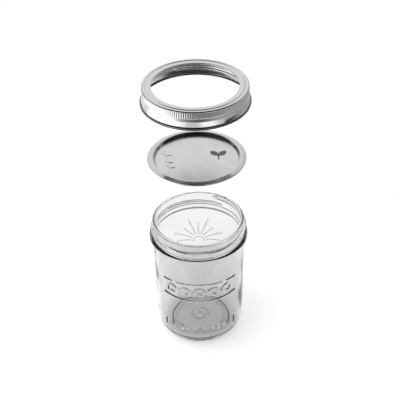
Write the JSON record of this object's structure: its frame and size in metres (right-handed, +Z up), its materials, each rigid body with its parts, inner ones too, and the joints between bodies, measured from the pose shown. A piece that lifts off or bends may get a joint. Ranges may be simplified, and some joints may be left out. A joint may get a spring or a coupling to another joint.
{
  "type": "preserving jar with two-piece lid",
  "caption": "Wide-mouth clear glass starter jar on a foot ring, with its flat sealing lid and open-topped screw band held apart above the mouth.",
  "frame": {"origin": "centre of the jar's foot ring, on the surface that it stands on", "axes": "+Z up along the jar's axis, out of the mouth; -Y is the jar's front"},
  "size_m": [0.092, 0.092, 0.2555],
  "materials": {
    "jar_glass": "clear pressed and blown soda-lime glass",
    "lid_tinplate": "satin tinplate",
    "seal_compound": "cured sealing compound",
    "band_tinplate": "bright rolled tinplate"
  },
  "bodies": {
    "jar": {"glass_jar": "jar_glass"},
    "lid": {"lid_disc": "lid_tinplate", "lid_seal": "seal_compound"},
    "band": {"screw_band": "band_tinplate"}
  },
  "joints": [
    {"name": "lid_lift", "type": "slide", "parent": "jar", "child": "lid", "axis": [0, 0, 1], "range_m": [-0.0651, 0]},
    {"name": "band_lift", "type": "slide", "parent": "lid", "child": "band", "axis": [0, 0, 1], "range_m": [-0.06845, 0]}
  ]
}
